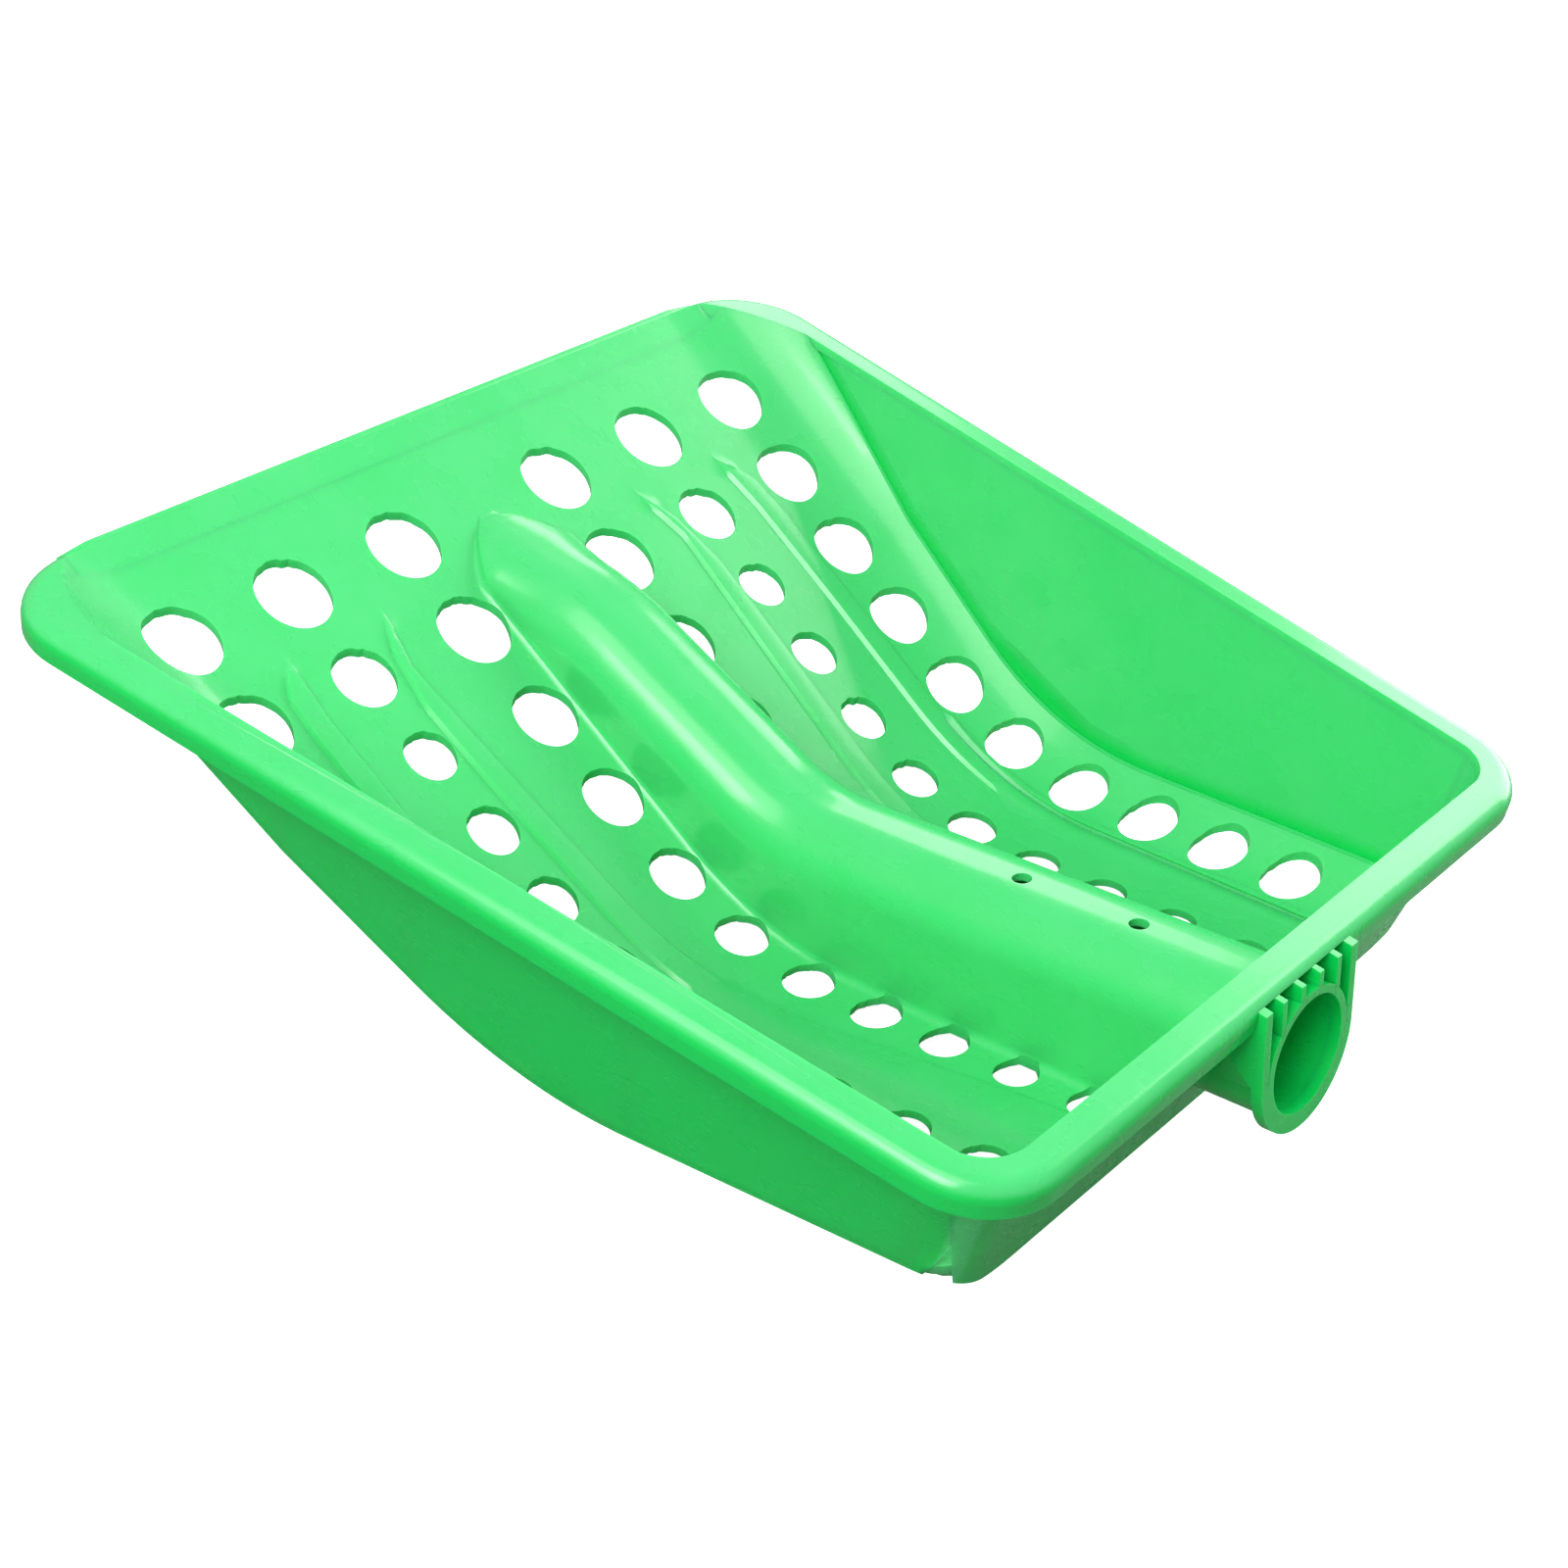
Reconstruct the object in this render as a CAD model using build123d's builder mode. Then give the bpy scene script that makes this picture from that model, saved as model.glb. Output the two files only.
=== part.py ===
"""Sand-sifting scoop head with a pole socket: one green moulding, drawn as its functional regions.

Frame: X across the scoop, Y from the digging lip (-Y) to the pole socket (+Y), Z up.
The rim lies in a horizontal plane and the lowest point of the floor stands on Z = 0. Millimetres.
"""

import os
from math import asin, atan2, cos, degrees, radians, sin, sqrt, tan

from build123d import *

# ---- driving dimensions -------------------------------------------------------------------------
LIP_WIDTH = 224.6      # clear width between the walls at the digging lip
REAR_WIDTH = 178.8     # clear width between the walls at the rear wall
CLEAR_LENGTH = 244.6   # lip to rear wall, along the rim
CLEAR_DEPTH = 60.5     # rim plane to the deepest point of the floor
WALL = 2.0             # thickness of walls, floor and rim

FRONT_SLOPE = 24.8     # fall of the floor behind the lip, degrees
REAR_SLOPE = 12.5      # rise of the floor towards the socket, degrees
KNEE_RADIUS = 85.0     # bend between the two slopes
LIP_DROP = 0.9         # floor below the rim plane at the lip
FLARE = 9.0            # outward lean of the walls, degrees
COVE_RADIUS = 30.0     # hollow rounding between floor and side walls
COVE_RISE = 8.0        # height at which the cove meets the wall
LIP_COVE_RISE = 19.5   # the same at the lip, where the cove opens out
LIP_COVE = 78.0        # length over which it opens out

RIM_WIDTH = 8.0        # flange, measured outward from the wall's inner face
RIM_SKIRT = 6.9        # depth of the turned-down edge
RIM_ROUND = 4.0        # rounding of the flange's outer edge
FRONT_CORNER = 22.0    # rim corner radius in plan at the lip
REAR_CORNER = 11.0     # inner corner radius in plan at the rear wall
LIP_BEAD = 1.2         # radius of the bead along the lip
BEAD_END = 0.2         # radius it fades to at both ends
LIP_BAND = 8.0         # length of the plain band that carries the bead

RIDGE_ROUND = 11.5     # rounding of the crest of the tunnel-shaped ridge that covers the pole
RIDGE_START = 29.5     # tip of the ridge, behind the lip
RIDGE_LEVEL = 13.4     # crest below the rim plane over the level nose
RIDGE_KNEE = 112.4     # where the crest turns upward, before the rear wall
RIDGE_NOSE = 39.0      # length of the level nose
RIDGE_BEND = 40.0      # rounding of the crest line where it turns
SCREW_HOLE = 2.1       # radius of the two screw holes in the crest
SCREW_AT = (56.4, 28.3)  # their distances from the rear wall

ROW_START = 26.8       # first row of sieve holes, behind the lip
COLUMNS = (             # distance from the middle at mid-length, lean per mm of length, pitches, radii
    (21.2, -0.030, (23.3, 23.5, 21.8, 20.6, 19.6, 19.1, 18.1, 17.4, 17.6, 17.6),
     (8.7, 8.6, 7.7, 7.2, 6.6, 6.2, 5.9, 5.6, 5.3, 4.8, 4.8)),
    (51.4, -0.050, (22.5, 20.6, 19.5, 18.2, 18.4, 18.8, 18.8, 18.8, 18.8, 18.8),
     (8.7, 7.3, 6.0, 5.9, 5.8, 5.9, 6.0, 6.0, 6.0, 6.0, 6.0)),
    (81.5, -0.050, (22.4, 21.7, 20.8, 20.9, 20.7, 20.8, 20.4, 19.5, 19.3),
     (8.5, 8.1, 7.8, 7.6, 7.4, 7.2, 7.0, 6.8, 6.7, 6.6)),
)

RIB_HEIGHT = 1.2       # ribs between the columns of holes
RIB_WIDTH = 6.4
RIB_LENGTH = 190.0
RIBS = ((72.3, -0.030), (44.0, -0.075))  # distance from the middle at the start, lean per mm

POLE_RADIUS = 12.5     # bore of the socket
SOCKET_WALL = 1.9      # wall of the socket tube
SOCKET_SLOPE = 13.0    # lean of the pole axis, degrees
SOCKET_DROP = 18.9     # pole axis below the rim plane at the collar's face
SOCKET_REACH = 13.4    # collar's face behind the rear wall, along Y
COLLAR_RADIUS = 16.6   # outside of the collar plate
COLLAR_THICK = 2.5
WEB_THICK = 1.4        # stiffening webs between tube and rim
WEBS = 4
WEB_PITCH = 6.6

# ---- derived sizes ------------------------------------------------------------------------------
AXIS_SLOPE = radians(SOCKET_SLOPE)
COLLAR_LOW = SOCKET_REACH + COLLAR_RADIUS * sin(AXIS_SLOPE)   # collar's lowest edge behind the rear wall
LENGTH = CLEAR_LENGTH + LIP_BEAD + COLLAR_LOW
LIP_Y = -LENGTH / 2 + LIP_BEAD
REAR_Y = LIP_Y + CLEAR_LENGTH
RIM_Z = CLEAR_DEPTH + WALL
FALL = tan(radians(FRONT_SLOPE))
RISE = tan(radians(REAR_SLOPE))
LEAN = tan(radians(FLARE))
TAPER = (LIP_WIDTH - REAR_WIDTH) / 2 / CLEAR_LENGTH
FAR = 400.0            # larger than the scoop
FRONT_RUN = 12.0       # run of the trough past the lip
REAR_RUN = 25.0        # run of the trough and ridge past the rear wall
RUN_OUT = 60.0         # run of the other cutting bodies past both ends
BLOCK_DROP = 20.0      # their depth below the scoop
CORNER_CLEAR = 0.3     # by which a wall's corner is rounder than the rim's
PROUD = 5.0            # by which a cutter stands past what it cuts
TUBE_RADIUS = POLE_RADIUS + SOCKET_WALL
TUBE_LENGTH = 24.0     # socket tube, from the collar's face past the rear wall's inner face
RIB_START = 41.5       # ribs begin this far behind the lip
SPLIT_CLEAR = 0.8      # floor region reaches this far past the crease of the cove
TOP_RISE = 40.0        # how far cutting bodies stand above the rim
SIDE_CLEAR = 0.3       # rear cutting block's sides stand this far outside the walls

knee_front = KNEE_RADIUS * sin(radians(FRONT_SLOPE))
knee_rear = KNEE_RADIUS * sin(radians(REAR_SLOPE))
KNEE_Y = LIP_Y + knee_front + (
    CLEAR_DEPTH - LIP_DROP - KNEE_RADIUS * (1 - cos(radians(FRONT_SLOPE)))) / FALL


def half_width(y):
    """Inner half width of the rim at a place along the scoop."""
    return LIP_WIDTH / 2 - TAPER * (y - LIP_Y)


def floor_z(y):
    """Height of the floor's upper face along the middle of the scoop."""
    if y < KNEE_Y - knee_front:
        return RIM_Z - LIP_DROP - FALL * (y - LIP_Y)
    centre = RIM_Z - CLEAR_DEPTH + KNEE_RADIUS
    if y <= KNEE_Y + knee_rear:
        return centre - sqrt(KNEE_RADIUS**2 - (y - KNEE_Y) ** 2)
    start = centre - KNEE_RADIUS * cos(radians(REAR_SLOPE))
    return start + RISE * (y - KNEE_Y - knee_rear)


def cove_rise(y):
    """Height of the crease above the floor."""
    opened = max(0, LIP_Y + LIP_COVE - y) / LIP_COVE
    return COVE_RISE + (LIP_COVE_RISE - COVE_RISE) * opened


def crease(y):
    """Distance of the crease from the middle of the scoop."""
    return half_width(y) + (floor_z(y) + cove_rise(y) - RIM_Z) * LEAN


def half_section(y, skin):
    """Points of the right half section, grown outward by skin: floor edge, cove middle, crease, top."""
    centre_z = floor_z(y) + COVE_RADIUS
    rise = cove_rise(y)
    edge_x = crease(y) - sqrt(2 * COVE_RADIUS * rise - rise**2)
    radius = COVE_RADIUS + skin
    wall_x = half_width(y) + skin / cos(radians(FLARE))
    foot = wall_x + (centre_z - RIM_Z) * LEAN - edge_x
    turn = asin(foot * cos(radians(FLARE)) / radius) - radians(FLARE)
    arc = [(edge_x + radius * sin(a), centre_z - radius * cos(a)) for a in (0, turn / 2, turn)]
    return [*arc, (wall_x + TOP_RISE * LEAN, RIM_Z + TOP_RISE)]


def trough(skin):
    """Solid trough from before the lip to behind the rear wall, its outside grown by skin."""
    knee_start, knee_end = KNEE_Y - knee_front, KNEE_Y + knee_rear
    spans = (
        (LIP_Y - FRONT_RUN, LIP_Y + LIP_COVE),
        (LIP_Y + LIP_COVE, knee_start),
        tuple(knee_start + (knee_end - knee_start) * k / 6 for k in range(7)),
        (knee_end, REAR_Y + REAR_RUN),
    )
    with BuildPart() as body:
        for stations in spans:
            for y in stations:
                with BuildSketch(Plane.XZ.offset(-y)):
                    right = half_section(y, skin)
                    left = [(-x, z) for x, z in right]
                    with BuildLine():
                        Line(left[0], right[0])
                        ThreePointArc(right[0], right[1], right[2])
                        Line(right[2], right[3])
                        Line(right[3], left[3])
                        Line(left[3], left[2])
                        ThreePointArc(left[2], left[1], left[0])
                    make_face()
            loft(ruled=len(stations) == 2)
    return body.part


def plan(grow, front_radius, rear_radius, front, side=0.0):
    """Face of the rim's plan outline, grown outward, with rounded corners."""
    with BuildSketch() as face:
        ends = ((front, half_width(LIP_Y)), (REAR_Y + grow, half_width(REAR_Y)))
        (y0, x0), (y1, x1) = [(y, x - TAPER * (y - c) + grow + side)
                              for (y, x), c in zip(ends, (LIP_Y, REAR_Y))]
        Polygon((-x0, y0), (x0, y0), (x1, y1), (-x1, y1), align=None)
        fillet(face.vertices().sort_by(Axis.Y)[-2:], rear_radius)
        if front_radius:
            fillet(face.vertices().sort_by(Axis.Y)[:2], front_radius)
    return face.sketch


def crest_z(y, radius):
    """Height of the line that runs along the pole at a radius above its axis."""
    back = REAR_Y + SOCKET_REACH - y
    return RIM_Z - SOCKET_DROP - back * tan(AXIS_SLOPE) + radius / cos(AXIS_SLOPE)


def rear_limit(skin):
    """Tall block whose rear face and corners lean outward like the rear wall."""
    drop = RIM_Z + BLOCK_DROP
    with BuildPart() as block:
        for z in (RIM_Z - drop, RIM_Z + TOP_RISE):
            with BuildSketch(Plane.XY.offset(z)):
                move = (z - RIM_Z) * LEAN + skin / cos(radians(FLARE))
                add(plan(move, 0, REAR_CORNER + skin + CORNER_CLEAR, LIP_Y - RUN_OUT, SIDE_CLEAR))
        loft(ruled=True)
    return block.part


def bore_axis(back=0.0):
    """Plane at the pole axis, looking out of the socket; back moves it into the scoop."""
    out = Vector(0, cos(AXIS_SLOPE), sin(AXIS_SLOPE))
    at = Vector(0, REAR_Y + SOCKET_REACH, RIM_Z - SOCKET_DROP) - out * back
    return Plane(origin=at, x_dir=(-1, 0, 0), z_dir=out)


def slab_above(front, rear, lift):
    """Everything above the floor line moved by lift, between two places along the scoop."""
    knee = [KNEE_Y - knee_front, KNEE_Y + knee_rear]
    with BuildPart() as slab:
        with BuildSketch(Plane.YZ):
            with BuildLine():
                Line((front, floor_z(front) + lift), (knee[0], floor_z(knee[0]) + lift))
                ThreePointArc((knee[0], floor_z(knee[0]) + lift), (KNEE_Y, floor_z(KNEE_Y) + lift),
                              (knee[1], floor_z(knee[1]) + lift))
                Polyline((knee[1], floor_z(knee[1]) + lift), (rear, floor_z(rear) + lift),
                         (rear, FAR), (front, FAR), (front, floor_z(front) + lift))
            make_face()
        extrude(amount=FAR / 2, both=True)
    return slab.part


def ridge_body(skin, start):
    """Solid ridge with rounded crest, shrunk inward by skin, from its tip to behind the rear wall."""
    half = TUBE_RADIUS - skin
    nose_z = RIM_Z - RIDGE_LEVEL - skin
    nose_y, turn_y, end_y = LIP_Y + RIDGE_START + RIDGE_NOSE, REAR_Y - RIDGE_KNEE, REAR_Y + REAR_RUN
    with BuildPart() as body:
        with BuildSketch(Plane.YZ) as side:
            Polygon((start, nose_z), (nose_y, nose_z), (turn_y, crest_z(turn_y, half)),
                    (end_y, crest_z(end_y, half)), (end_y, -FAR), (start, -FAR), align=None)
            fillet([v for v in side.vertices() if abs(v.Y - nose_y) < 1], RIDGE_BEND - skin)
            fillet([v for v in side.vertices() if abs(v.Y - turn_y) < 1], RIDGE_BEND + skin)
        extrude(amount=half, both=True)
        sides = body.edges().filter_by(lambda e: abs(abs(e.center().X) - half) < 0.01)
        fillet(sides.filter_by(lambda e: e.center().Z > 0 and abs(e.tangent_at(0.5).Y) > 0.3),
               RIDGE_ROUND - skin)
    return body.part


# ---- common bodies the regions are cut from -----------------------------------------------------
split_y = REAR_Y - (RIM_Z - floor_z(REAR_Y)) * LEAN       # foot of the rear wall
crown = RIM_Z - WALL                                      # underside of the flange

with BuildPart() as cavity:
    add(trough(0))
    add(rear_limit(0), mode=Mode.INTERSECT)

with BuildPart() as above_floor:                          # all that lies above the floor's underside
    add(slab_above(LIP_Y - RUN_OUT, REAR_Y + RUN_OUT, -WALL / cos(radians(FRONT_SLOPE))))
    with BuildSketch(Plane.XY.offset(-BLOCK_DROP)):
        Rectangle(FAR, FAR)
    extrude(amount=RIM_Z + BLOCK_DROP, mode=Mode.INTERSECT)

with BuildPart() as envelope:                             # all that lies under the rim's rounded top
    with BuildSketch(Plane.XY.offset(RIM_Z)):
        add(plan(RIM_WIDTH, FRONT_CORNER, REAR_CORNER + RIM_WIDTH, LIP_Y))
    extrude(amount=-FAR)
    fillet(envelope.edges().group_by(Axis.Z)[-1], RIM_ROUND)

with BuildPart() as relief:                               # the hollow under the flange
    with BuildSketch(Plane.XY.offset(crown)):
        add(plan(RIM_WIDTH - WALL, FRONT_CORNER - WALL, REAR_CORNER + RIM_WIDTH - WALL, LIP_Y + WALL))
    extrude(amount=-RIM_SKIRT)
    fillet(relief.edges().group_by(Axis.Z)[-1], RIM_ROUND - WALL)

with BuildPart() as rim:
    with BuildSketch(Plane.XY.offset(RIM_Z - RIM_SKIRT)):
        Rectangle(FAR, FAR)
    extrude(amount=RIM_SKIRT)
    add(envelope.part, mode=Mode.INTERSECT)
    add(relief.part, mode=Mode.SUBTRACT)
    add(cavity.part, mode=Mode.SUBTRACT)
    add(above_floor.part, mode=Mode.INTERSECT)
    with BuildSketch():                                   # the lip fills the middle of the front
        with Locations((0, LIP_Y)):
            Rectangle(LIP_WIDTH + 2 * (RIM_WIDTH - FRONT_CORNER), 2 * FRONT_CORNER)
    extrude(amount=FAR, mode=Mode.SUBTRACT)
    with BuildSketch(Plane.XY.offset(crown)):             # no skirt between the collar's arms
        with Locations((0, REAR_Y + RIM_WIDTH)):
            Rectangle(2 * COLLAR_RADIUS, RIM_WIDTH)
    extrude(amount=-RIM_SKIRT, mode=Mode.SUBTRACT)
rim.part.label = "rim_flange"

with BuildPart() as shell:
    add(trough(WALL))
    add(rear_limit(WALL), mode=Mode.INTERSECT)
    add(envelope.part, mode=Mode.INTERSECT)
    add(cavity.part, mode=Mode.SUBTRACT)
    add(rim.part, mode=Mode.SUBTRACT)

with BuildPart() as floor_region:                         # between the feet of the walls
    with BuildSketch():
        stations = (LIP_Y - PROUD, LIP_Y + LIP_COVE, KNEE_Y - knee_front, KNEE_Y, KNEE_Y + knee_rear, split_y)
        edge = [(crease(y) + SPLIT_CLEAR, y) for y in stations]
        Polygon(*edge, *[(-x, y) for x, y in reversed(edge)], align=None)
    extrude(amount=FAR)

with BuildPart() as ridge_outer:
    add(ridge_body(0, LIP_Y + RIDGE_START))
    add(rear_limit(0), mode=Mode.INTERSECT)

with BuildPart() as socket_solid:                         # tube without its bore
    with BuildSketch(bore_axis()):
        Circle(TUBE_RADIUS)
    extrude(amount=-TUBE_LENGTH)
    add(rear_limit(0), mode=Mode.SUBTRACT)

with BuildPart() as pole:
    with BuildSketch(bore_axis(-PROUD)):
        Circle(POLE_RADIUS)
    extrude(amount=-TUBE_LENGTH - 2 * PROUD)

# ---- floor and lip ------------------------------------------------------------------------------
with BuildPart() as floor:
    add(shell.part)
    add(floor_region.part, mode=Mode.INTERSECT)
    with BuildSketch(Plane.XZ.offset(-LIP_Y - LIP_BAND)):
        Rectangle(FAR, FAR)
    extrude(amount=-FAR, mode=Mode.INTERSECT)
    add(ridge_outer.part, mode=Mode.SUBTRACT)
    with BuildSketch():
        for distance, lean, pitches, radii in COLUMNS:
            y = LIP_Y + ROW_START
            for pitch, radius in zip((0, *pitches), radii):
                y += pitch
                with Locations(*[(side * (distance + lean * y), y) for side in (-1, 1)]):
                    Circle(radius)
    extrude(amount=RIM_Z, mode=Mode.SUBTRACT)
floor.part.label = "sieve_floor"

with BuildPart() as lip:
    add(shell.part)
    with BuildSketch(Plane.XZ.offset(-LIP_Y)):
        Rectangle(FAR, FAR)
    extrude(amount=-LIP_BAND, mode=Mode.INTERSECT)
    with BuildSketch(Plane.YZ):
        with Locations((LIP_Y, RIM_Z - LIP_DROP - LIP_BEAD)):
            Circle(LIP_BEAD)
    extrude(amount=LIP_WIDTH / 2 - FRONT_CORNER, both=True)
    for side in (-1, 1):                                  # the bead fades out into the rim corner
        at_x = side * ((LIP_WIDTH + RIM_WIDTH) / 2 - FRONT_CORNER)
        with Locations((at_x, LIP_Y, RIM_Z - LIP_DROP - LIP_BEAD)):
            Cone(LIP_BEAD, BEAD_END, RIM_WIDTH, rotation=(0, side * 90, 0))
    add(rim.part, mode=Mode.SUBTRACT)
lip.part.label = "digging_lip"

# ---- walls --------------------------------------------------------------------------------------
with BuildPart() as rear_wall:
    add(shell.part)
    with BuildSketch(Plane.XZ.offset(-split_y)):
        Rectangle(FAR, FAR)
    extrude(amount=-FAR, mode=Mode.INTERSECT)
    add(socket_solid.part, mode=Mode.SUBTRACT)
    add(ridge_outer.part, mode=Mode.SUBTRACT)
rear_wall.part.label = "rear_wall"

walls = {}
for name, side in (("side_wall_left", -1), ("side_wall_right", 1)):
    with BuildPart() as wall:
        add(shell.part)
        add(floor_region.part, mode=Mode.SUBTRACT)
        with BuildSketch():
            with Locations((side * FAR / 2, (LIP_Y + LIP_BAND + split_y) / 2)):
                Rectangle(FAR, split_y - LIP_Y - LIP_BAND)
        extrude(amount=RIM_Z, mode=Mode.INTERSECT)
    wall.part.label = name
    walls[name] = wall.part

# ---- ridge and ribs -----------------------------------------------------------------------------
with BuildPart() as ridge:
    add(ridge_outer.part)
    add(ridge_body(SOCKET_WALL, LIP_Y + RIDGE_START + WALL), mode=Mode.SUBTRACT)
    add(slab_above(LIP_Y, REAR_Y + RUN_OUT, -WALL), mode=Mode.INTERSECT)
    with BuildSketch():
        with Locations(*[(0, REAR_Y - back) for back in SCREW_AT]):
            Circle(SCREW_HOLE)
    extrude(amount=RIM_Z, mode=Mode.SUBTRACT)
ridge.part.label = "centre_ridge"

ribs = {}
for place, (start_x, lean) in zip(("inner", "outer"), reversed(RIBS)):
    for hand, side in (("left", -1), ("right", 1)):
        with BuildPart() as rib:
            start_y = LIP_Y + RIB_START
            with BuildSketch():
                with Locations((side * (start_x + lean * RIB_LENGTH / 2), start_y + RIB_LENGTH / 2)):
                    SlotCenterToCenter(RIB_LENGTH, RIB_WIDTH, rotation=degrees(atan2(1, side * lean)))
            extrude(amount=RIM_Z)
            add(slab_above(LIP_Y, REAR_Y, RIB_HEIGHT), mode=Mode.SUBTRACT)
            add(cavity.part, mode=Mode.INTERSECT)
        rib.part.label = f"rib_{place}_{hand}"
        ribs[rib.part.label] = rib.part

# ---- pole socket --------------------------------------------------------------------------------
with BuildPart() as tube:
    add(socket_solid.part)
    add(pole.part, mode=Mode.SUBTRACT)
    with BuildSketch(bore_axis()):
        Circle(FAR)
    extrude(amount=-COLLAR_THICK, mode=Mode.SUBTRACT)
tube.part.label = "socket_tube"

with BuildPart() as collar:                               # ring, two arms up to the rim, side gussets
    with BuildSketch(bore_axis()):
        Circle(COLLAR_RADIUS)
        with Locations((0, COLLAR_RADIUS)):
            Rectangle(2 * COLLAR_RADIUS, 2 * COLLAR_RADIUS)
        Circle(POLE_RADIUS, mode=Mode.SUBTRACT)
        with BuildSketch(mode=Mode.SUBTRACT):
            with Locations((0, COLLAR_RADIUS)):
                Rectangle(2 * TUBE_RADIUS, 2 * COLLAR_RADIUS)
            Circle(TUBE_RADIUS, mode=Mode.SUBTRACT)
    extrude(amount=-COLLAR_THICK)
    with BuildSketch(bore_axis()):
        with Locations(*[(side * (COLLAR_RADIUS + TUBE_RADIUS) / 2, COLLAR_RADIUS) for side in (-1, 1)]):
            Rectangle(COLLAR_RADIUS - TUBE_RADIUS, 2 * COLLAR_RADIUS)
    extrude(amount=-TUBE_LENGTH)
    with BuildSketch(Plane.XY.offset(crown)):
        Rectangle(FAR, FAR)
    extrude(amount=-FAR, mode=Mode.INTERSECT)
    add(rear_limit(WALL), mode=Mode.SUBTRACT)
    add(rim.part, mode=Mode.SUBTRACT)
collar.part.label = "socket_collar"

webs = {}
face_top = REAR_Y + SOCKET_REACH - (SOCKET_DROP - WALL) * tan(AXIS_SLOPE)  # collar's face under the rim
for index in range(WEBS):
    with BuildPart() as web:
        with BuildSketch(Plane.YZ.offset((index - (WEBS - 1) / 2) * WEB_PITCH)):
            Polygon((REAR_Y - 20, crown), (face_top, crown), (REAR_Y + SOCKET_REACH, RIM_Z - SOCKET_DROP),
                    (REAR_Y - 20, RIM_Z - SOCKET_DROP), align=None)
        extrude(amount=WEB_THICK / 2, both=True)
        add(rear_limit(WALL), mode=Mode.SUBTRACT)
        add(socket_solid.part, mode=Mode.SUBTRACT)
        add(pole.part, mode=Mode.SUBTRACT)
        add(rim.part, mode=Mode.SUBTRACT)
    web.part.label = f"web_{index + 1}"
    webs[web.part.label] = web.part

# ---- files --------------------------------------------------------------------------------------
os.makedirs("parts", exist_ok=True)
pieces = [floor.part, lip.part, rear_wall.part, rim.part, ridge.part, tube.part, collar.part,
          *walls.values(), *ribs.values(), *webs.values()]
for piece in pieces:
    export_step(piece, f"parts/{piece.label}.step")
    if len(piece.solids()) != 1:
        print(piece.label, "has", len(piece.solids()), "solids")
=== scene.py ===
"""Sand-sieve scoop head in glossy green polypropylene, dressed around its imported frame.

The scoop is one moulding. Its floor, ridge and ribs are modelled here as one continuous skin, and
its walls, rim and pole socket take smoothed copies of their frame nodes.
"""

import logging
import math
from dataclasses import dataclass
from enum import Enum
from typing import Any, Iterable, Sequence

import bmesh
import bpy
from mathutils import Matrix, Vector, noise


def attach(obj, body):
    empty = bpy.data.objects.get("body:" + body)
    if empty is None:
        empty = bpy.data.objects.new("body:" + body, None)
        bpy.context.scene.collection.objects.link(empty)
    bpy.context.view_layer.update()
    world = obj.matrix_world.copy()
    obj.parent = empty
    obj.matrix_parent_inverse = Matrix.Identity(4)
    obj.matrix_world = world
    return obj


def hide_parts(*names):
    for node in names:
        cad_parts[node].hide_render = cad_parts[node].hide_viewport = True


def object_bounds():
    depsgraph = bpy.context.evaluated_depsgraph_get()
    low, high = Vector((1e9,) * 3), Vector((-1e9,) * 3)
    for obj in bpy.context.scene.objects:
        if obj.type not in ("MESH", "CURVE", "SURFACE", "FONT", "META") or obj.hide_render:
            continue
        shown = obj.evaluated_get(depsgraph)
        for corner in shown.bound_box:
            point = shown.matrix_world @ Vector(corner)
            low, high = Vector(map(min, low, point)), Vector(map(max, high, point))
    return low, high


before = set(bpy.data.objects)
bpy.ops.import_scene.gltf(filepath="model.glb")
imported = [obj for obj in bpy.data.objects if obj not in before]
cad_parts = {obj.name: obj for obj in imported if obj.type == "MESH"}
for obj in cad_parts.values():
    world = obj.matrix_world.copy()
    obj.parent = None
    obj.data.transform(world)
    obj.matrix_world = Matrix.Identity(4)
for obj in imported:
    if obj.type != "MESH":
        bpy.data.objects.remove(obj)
CAD_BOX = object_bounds()

LOG = logging.getLogger("scoop")
BODY = "root"
MM = 0.001

COPIED_NODES = ("digging_lip", "rear_wall", "rim_flange", "side_wall_left", "side_wall_right",
                "socket_collar", "socket_tube", *(f"web_{k}" for k in range(1, 5)))

Point = tuple[float, float]
Section = list[Point]


class Side(Enum):
    """Hand of a piece that has a twin across the middle of the scoop."""

    LEFT = -1
    RIGHT = 1


# ---- shader helpers -----------------------------------------------------------------------------
class Term:
    """A shader socket that takes part in Python arithmetic, adding Math nodes as it goes."""

    def __init__(self, graph: "Graph", socket: bpy.types.NodeSocket) -> None:
        """Wrap a socket.

        Args:
            graph: The material graph that the socket belongs to.
            socket: An output socket that carries a number.
        """
        self.graph = graph
        self.socket = socket

    def _math(self, operation: str, *values: Any) -> "Term":
        """Add one Math node over values."""
        return self.graph.node("ShaderNodeMath", {"operation": operation}, dict(enumerate(values)))

    def __add__(self, other: Any) -> "Term":
        """Sum."""
        return self._math("ADD", self, other)

    __radd__ = __add__

    def __mul__(self, other: Any) -> "Term":
        """Product."""
        return self._math("MULTIPLY", self, other)

    __rmul__ = __mul__

    def __sub__(self, other: Any) -> "Term":
        """Difference."""
        return self._math("SUBTRACT", self, other)

    def __rsub__(self, other: Any) -> "Term":
        """Difference with the socket on the right."""
        return self._math("SUBTRACT", other, self)

    def __truediv__(self, other: Any) -> "Term":
        """Quotient."""
        return self._math("DIVIDE", self, other)

    def clamp(self) -> "Term":
        """The value held between 0 and 1."""
        return self.graph.node("ShaderNodeClamp", {}, {"Value": self})

    def absolute(self) -> "Term":
        """The value without its sign."""
        return self._math("ABSOLUTE", self)


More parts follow.
